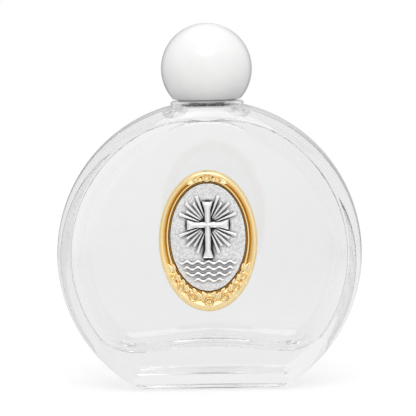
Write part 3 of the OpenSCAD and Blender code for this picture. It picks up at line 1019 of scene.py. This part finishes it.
def mottle_effect():
    """Soft cloudy variation in two sizes, as a mask from 0 to 1."""
    group, given, result = effect("Soft mottle", {"Scale": 200.0}, "Mask")
    vector, scale = given["Vector"], given["Scale"]
    coarse = node(group, "ShaderNodeTexNoise", {"Vector": vector, "Scale": scale, "Detail": 3.0})
    fine = node(group, "ShaderNodeTexNoise", {"Vector": vector, "Scale": times(group, scale, 4.7)})
    both = combined(group, "ADD", coarse.outputs["Fac"], fine.outputs["Fac"])
    fill(group, result, {"Mask": spread(group, both, 0.0, 1.0, 0.75, 1.25)})
    return group


def grain_effect():
    """Fine grain of a blasted, cast or foamed skin, as a height."""
    group, given, result = effect("Fine grain", {"Scale": 4000.0, "Pits": 0.3}, "Height")
    vector, scale = given["Vector"], given["Scale"]
    noise = node(group, "ShaderNodeTexNoise", {"Vector": vector, "Scale": scale, "Detail": 2.0})
    cells = node(group, "ShaderNodeTexVoronoi", {"Vector": vector, "Scale": scale})
    mixed = blended(group, given["Pits"], noise.outputs["Fac"], cells.outputs["Distance"])
    fill(group, result, {"Height": mixed})
    return group


MOTTLE = mottle_effect()
GRAIN = grain_effect()


# Finishes

def finish_base(name, **sockets):
    """A new finish with its Principled shader's plain sockets set, and its Object coordinates."""
    material = bpy.data.materials.new(name)
    material.use_nodes = True
    tree = material.node_tree
    shader = tree.nodes["Principled BSDF"]
    for key, value in sockets.items():
        shader.inputs[key.replace("_", " ")].default_value = value
    place = tree.nodes.new("ShaderNodeTexCoord").outputs["Object"]
    return material, tree, shader, place


def clear_glass():
    """Clear glass: a faint wave in its skin, and a little grey in its thickness."""
    material, tree, shader, place = finish_base("clear_glass", IOR=1.5, Transmission_Weight=1.0)
    cloud = group_node(tree, MOTTLE, "Mask", Vector=place, Scale=45.0)
    fill(tree, shader, {
        "Base Color": mix_colours(tree, cloud, (0.973, 0.976, 0.975, 1), (0.985, 0.987, 0.986, 1)),
        "Roughness": spread(tree, cloud, 0.02, 0.035),
        "Normal": bump(tree, cloud, 0.02, 0.25),
    })
    depth = node(tree, "ShaderNodeVolumeAbsorption", {"Color": (0.49, 0.51, 0.505, 1), "Density": 2.0})
    fill(tree, tree.nodes["Material Output"], {"Volume": depth.outputs[0]})
    return material


def moulded(name, dark, light, rough, clouds, grains, depth):
    """Moulded plastic: faint clouding in the colour and gloss, and a fine skin."""
    material, tree, shader, place = finish_base(name)
    cloud = group_node(tree, MOTTLE, "Mask", Vector=place, Scale=clouds)
    skin = group_node(tree, GRAIN, "Height", Vector=place, Scale=grains, Pits=0.15)
    fill(tree, shader, {
        "Base Color": mix_colours(tree, cloud, (*dark, 1), (*light, 1)),
        "Roughness": spread(tree, cloud, *rough),
        "Normal": bump(tree, skin, depth, 0.5),
    })
    return material


def foam(name, dark, light, cells, depth):
    """Closed-cell foam: small pits, with painted shade darkening the colour in them."""
    material, tree, shader, place = finish_base(name)
    pits = group_node(tree, GRAIN, "Height", Vector=place, Scale=cells, Pits=0.8)
    # Painted shade: the colour is darker in the pits
    raised = spread(tree, pits, 0.0, 1.0, 0.1, 0.6)
    fill(tree, shader, {
        "Base Color": mix_colours(tree, raised, (*dark, 1), (*light, 1)),
        "Roughness": spread(tree, raised, 0.6, 0.85),
        "Normal": bump(tree, pits, depth, 0.8),
    })
    return material


def gilding():
    """Satin gilding: painted shade deepens it where it lies low, a painted highlight pales it where high.
    """
    material, tree, shader, place = finish_base("satin_gilding", Metallic=1.0)
    hollow = attribute(tree, "hollow")
    cloud = group_node(tree, MOTTLE, "Mask", Vector=place, Scale=700.0)
    skin = group_node(tree, GRAIN, "Height", Vector=place, Scale=5200.0, Pits=0.35)
    plain = mix_colours(tree, cloud, (0.95, 0.67, 0.25, 1), (0.99, 0.77, 0.38, 1))
    # Painted highlight: raised spots are paled towards a light gold
    high = spread(tree, hollow, 0.0, 1.0, -0.1, -0.6)
    rubbed_and_sheen = mix_colours(tree, high, plain, (1.0, 0.83, 0.5, 1))
    # Painted shade: low spots, and the frame's opening edge, are darkened towards a brown
    painted_recess_shade = spread(tree, hollow, 0.0, 1.0, 0.1, 0.6)
    fill(tree, shader, {
        "Base Color": mix_colours(tree, painted_recess_shade, rubbed_and_sheen, (0.46, 0.21, 0.03, 1)),
        "Roughness": spread(tree, cloud, 0.22, 0.32),
        "Normal": bump(tree, skin, 0.02, 0.5),
    })
    return material


def antique_silver():
    """Struck silver: a blasted field, dark patina round the relief, and high edges paled by wear and
    painted highlight.
    """
    material, tree, shader, place = finish_base("antique_silver", Metallic=1.0)
    hollow = attribute(tree, "hollow")
    cloud = group_node(tree, MOTTLE, "Mask", Vector=place, Scale=900.0)
    skin = group_node(tree, GRAIN, "Height", Vector=place, Scale=6500.0, Pits=0.5)
    speckle = group_node(tree, GRAIN, "Height", Vector=place, Scale=2600.0, Pits=0.1)
    grains = spread(tree, speckle, 0.0, 1.0, 0.36, 0.62)
    field = mix_colours(tree, grains, (0.64, 0.64, 0.645, 1), (0.92, 0.92, 0.925, 1))
    # High edges are paled: worn silver, and partly a painted highlight
    high = spread(tree, hollow, 0.0, 1.0, -0.1, -0.7)
    rubbed_and_sheen = mix_colours(tree, high, field, (0.92, 0.92, 0.92, 1))
    patina = spread(tree, hollow, 0.0, 1.0, 0.07, 0.5)
    fill(tree, shader, {
        "Base Color": mix_colours(tree, patina, rubbed_and_sheen, (0.025, 0.025, 0.027, 1)),
        "Roughness": spread(tree, cloud, 0.38, 0.5),
        "Normal": bump(tree, skin, 0.03, 0.6),
    })
    return material


GLASS = clear_glass()
BALL_WHITE = moulded(
    "ball_white", (0.865, 0.865, 0.86), (0.89, 0.89, 0.885), (0.06, 0.1), 60.0, 2500.0, 0.006)
INSERT_GREY = moulded(
    "insert_grey", (0.4, 0.4, 0.4), (0.47, 0.47, 0.46), (0.3, 0.42), 150.0, 3000.0, 0.01)
PLUG_NATURAL = moulded(
    "plug_natural", (0.78, 0.79, 0.77), (0.84, 0.85, 0.83), (0.3, 0.4), 220.0, 3000.0, 0.01)
GLUE_FILM = moulded(
    "glue_film", (0.66, 0.6, 0.42), (0.74, 0.69, 0.52), (0.25, 0.5), 500.0, 2200.0, 0.02)
LINER_FOAM = foam("liner_foam", (0.72, 0.72, 0.7), (0.86, 0.86, 0.84), 3200.0, 0.06)
TAPE_FOAM = foam("tape_foam", (0.74, 0.74, 0.72), (0.88, 0.88, 0.86), 2600.0, 0.08)
GILT = gilding()
SILVER = antique_silver()


def dress(piece, material, body, slot, *nodes):
    """Gives a piece its finish and its body, and hides the CAD nodes that it stands for; the slot is not
    used.
    """
    piece.data.materials.clear()
    piece.data.materials.append(material)
    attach(piece, body)
    if nodes:
        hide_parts(*nodes)


dress(flask, GLASS, "flask", "clear_glass", "flask")
dress(ball, BALL_WHITE, "cap", "ball_white", "cap_ball")
dress(insert, INSERT_GREY, "cap", "insert_grey", "cap_insert")
dress(liner, LINER_FOAM, "liner", "liner_foam", "cap_liner")
dress(plug, PLUG_NATURAL, "flask", "plug_natural", "pour_plug")
dress(medal_frame, GILT, "flask", "gilt", "medal_frame")
dress(roses, GILT, "flask", "gilt")
dress(plate, SILVER, "flask", "antique_silver", "medal_plate")
for name, finish in (("frame_tape", TAPE_FOAM), ("plate_glue", GLUE_FILM)):
    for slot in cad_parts[name].material_slots:
        slot.material = finish


# Studio

# The floor, in metres: its radius, where it starts and ends to fade, and the glow of what is seen of it
FLOOR_R = 0.4
FLOOR_FADE = (0.12, 0.36)
FLOOR_GLOW = 0.76

# Light goes to and fro many times in thick glass before it leaves
GLASS_BOUNCES = 40


def floor_disc():
    """A pale floor that fades into the white round it; what is seen of it keeps a light shadow."""
    start_clean()
    bpy.ops.mesh.primitive_circle_add(vertices=96, radius=FLOOR_R, fill_type="NGON")
    floor = named("studio_floor")
    material = bpy.data.materials.new("white_floor")
    material.use_nodes = True
    tree = material.node_tree
    tree.nodes.clear()
    rays = tree.nodes.new("ShaderNodeLightPath").outputs
    camera_ray = rays["Is Camera Ray"]
    seen = maximum(tree, camera_ray, rays["Is Transmission Ray"], rays["Is Glossy Ray"])
    paint = mix_colours(tree, seen, (0.84, 0.84, 0.84, 1), (0.1, 0.1, 0.1, 1))
    paint = mix_colours(tree, camera_ray, paint, (0.26, 0.26, 0.26, 1))
    white = node(tree, "ShaderNodeBsdfDiffuse", {"Color": paint})
    lift = spread(tree, seen, 0.0, FLOOR_GLOW)
    glow = node(tree, "ShaderNodeEmission", {"Color": (1, 1, 1, 1), "Strength": lift})
    both = node(tree, "ShaderNodeAddShader", {0: white.outputs[0], 1: glow.outputs[0]})
    place = tree.nodes.new("ShaderNodeTexCoord").outputs["Object"]
    away = node(tree, "ShaderNodeVectorMath", {0: place}, operation="LENGTH").outputs["Value"]
    clear = tree.nodes.new("ShaderNodeBsdfTransparent")
    faded = node(tree, "ShaderNodeMixShader", {
        0: spread(tree, away, 0.0, 1.0, *FLOOR_FADE), 1: both.outputs[0], 2: clear.outputs[0]})
    node(tree, "ShaderNodeOutputMaterial", {"Surface": faded.outputs[0]})
    floor.data.materials.append(material)


def mirrored_level(tree, x, y, z):
    """What gloss and metal mirror: paler above and in front, darker round the sides and behind."""
    above = spread(tree, z, 0.0, 1.0, 0.45, 0.8)
    aside = spread(tree, times(tree, x, x), 1.0, 0.2, 0.01, 0.06)
    edge = maximum(tree, aside, spread(tree, y, 1.0, 0.0, 0.7, 0.88))
    slant = spread(tree, x, 0.96, 1.22, -0.1, 0.1)
    behind = spread(tree, y, 0.82, 0.5, -0.2, 0.7)
    return maximum(tree, times(tree, behind, slant, edge), above)


def through_level(tree, x, z):
    """What shows through glass: white, a little greyer to the sides and low down."""
    left = spread(tree, x, 0.91, 0.93, -0.8, -0.1)
    middle = spread(tree, x, 1.0, 0.94, -0.09, 0.06)
    right = spread(tree, x, 1.0, 0.96, 0.06, 0.7)
    low = spread(tree, z, 0.94, 1.0, -0.13, -0.05)
    return times(tree, left, middle, right, low)


def studio_world():
    """White for the camera, with levels of its own for mirrored, transmitted and other light."""
    world = bpy.data.worlds.new("white_studio")
    world.use_nodes = True
    tree = world.node_tree
    tree.nodes.clear()
    rays = tree.nodes.new("ShaderNodeLightPath").outputs
    way = tree.nodes.new("ShaderNodeTexCoord").outputs["Generated"]
    parts = node(tree, "ShaderNodeSeparateXYZ", {0: way}).outputs
    x, y, z = parts["X"], parts["Y"], parts["Z"]
    level = spread(tree, z, 0.64, 0.94)
    level = blended(tree, rays["Is Glossy Ray"], level, mirrored_level(tree, x, y, z))
    level = blended(tree, rays["Is Transmission Ray"], level, through_level(tree, x, z))
    level = blended(tree, rays["Is Camera Ray"], level, 1.0)
    sky = node(tree, "ShaderNodeBackground", {"Color": (1, 1, 1, 1), "Strength": level})
    node(tree, "ShaderNodeOutputWorld", {"Surface": sky.outputs[0]})
    bpy.context.scene.world = world


def soft_sky(name, towards, spread_angle, strength):
    """A broad soft light from far away, so that the floor is lit evenly out to its edge."""
    light = bpy.data.lights.new(name, "SUN")
    light.angle = math.radians(spread_angle)
    light.energy = strength
    lamp = bpy.data.objects.new(name, light)
    lamp.location = Vector(towards)
    lamp.rotation_euler = Vector(towards).to_track_quat("Z", "Y").to_euler()
    bpy.context.collection.objects.link(lamp)


def camera():
    """The photograph's view, from almost square in front and a little above."""
    distance = 0.56
    azimuth, elevation, roll = (math.radians(angle) for angle in (1.5, 5.5, -1.1))
    target = Vector((0, 0, 0.05))
    data = bpy.data.cameras.new("camera")
    data.lens = 175
    data.sensor_width = 36
    data.clip_start = 0.01
    data.shift_x = -0.0024
    data.shift_y = -0.0072
    view = bpy.data.objects.new("camera", data)
    level = math.cos(elevation)
    towards = Vector((math.sin(azimuth) * level, -math.cos(azimuth) * level, math.sin(elevation)))
    view.location = target + distance * towards
    turn = (target - view.location).to_track_quat("-Z", "Y").to_matrix()
    view.rotation_euler = (turn @ Matrix.Rotation(roll, 3, "Z")).to_euler()
    bpy.context.collection.objects.link(view)
    bpy.context.scene.camera = view


floor_disc()
studio_world()
soft_sky("top_light", (0.03, -0.7, 1), 45, 1.15)
camera()
bpy.context.scene.view_settings.view_transform = "Standard"

light_paths = bpy.context.scene.cycles
light_paths.max_bounces = GLASS_BOUNCES
light_paths.glossy_bounces = GLASS_BOUNCES
light_paths.transmission_bounces = GLASS_BOUNCES
